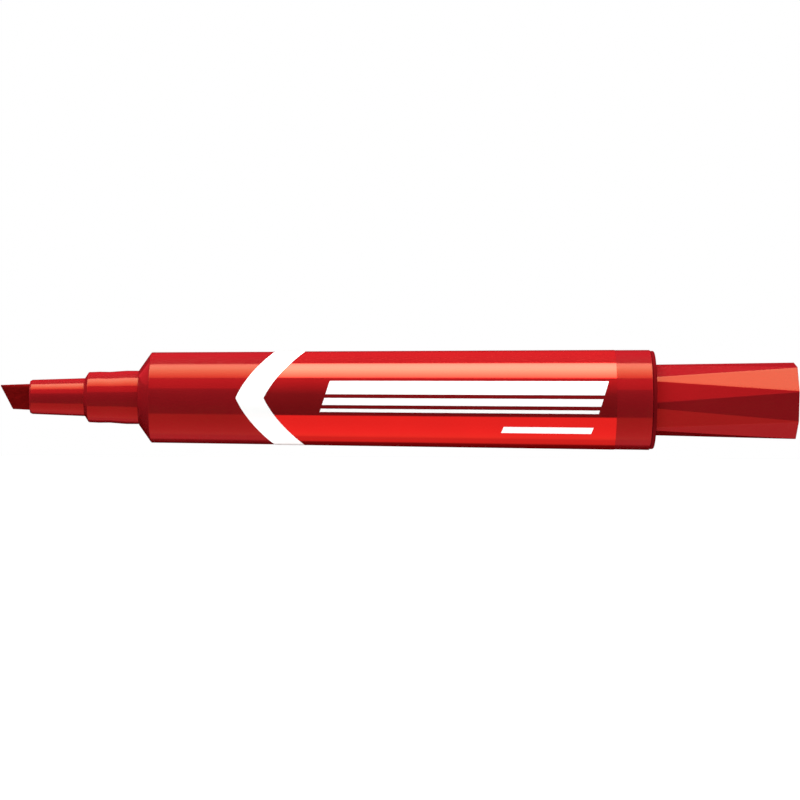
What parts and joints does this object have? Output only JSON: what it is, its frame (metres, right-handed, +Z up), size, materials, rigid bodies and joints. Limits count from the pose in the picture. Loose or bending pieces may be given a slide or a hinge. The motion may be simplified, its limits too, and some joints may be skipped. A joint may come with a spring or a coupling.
{
  "type": "felt tip marker",
  "caption": "Felt tip marker with a slanted chisel nib, a tapered round barrel and a faceted cap pushed onto the post at its rear.",
  "frame": {"origin": "centre of the bounding box, on the marker's axis, half way between the nib's point and the closed end of the posted cap", "axes": "X along the marker's axis, with the nib at -X and the cap at +X; +Z up, on the side of the nib's point; -Y is the side that the label's V points from"},
  "size_m": [0.143, 0.018, 0.018],
  "materials": {
    "barrel_red": "smooth moulded, high gloss",
    "section_red": "smooth moulded, gloss",
    "cap_red": "smooth moulded, gloss",
    "nib_felt": "pressed fibre soaked in ink",
    "reservoir_fibre": "bundled fibre soaked in ink",
    "reservoir_film": "thin clear film",
    "liner_plastic": "natural moulded",
    "label_film": "glossy printed film",
    "label_print_white": "glossy white print"
  },
  "bodies": {
    "marker": {"barrel": "barrel_red", "front_section": "section_red", "chisel_nib": "nib_felt", "ink_reservoir": "reservoir_fibre", "reservoir_wrap": "reservoir_film", "end_plug": "section_red", "barrel_label": "label_film"},
    "cap": {"cap_shell": "cap_red", "cap_liner": "liner_plastic"}
  },
  "joints": [
    {"name": "cap_slide", "type": "slide", "parent": "marker", "child": "cap", "axis": [1, 0, 0], "range_m": [0, 0.03]}
  ]
}
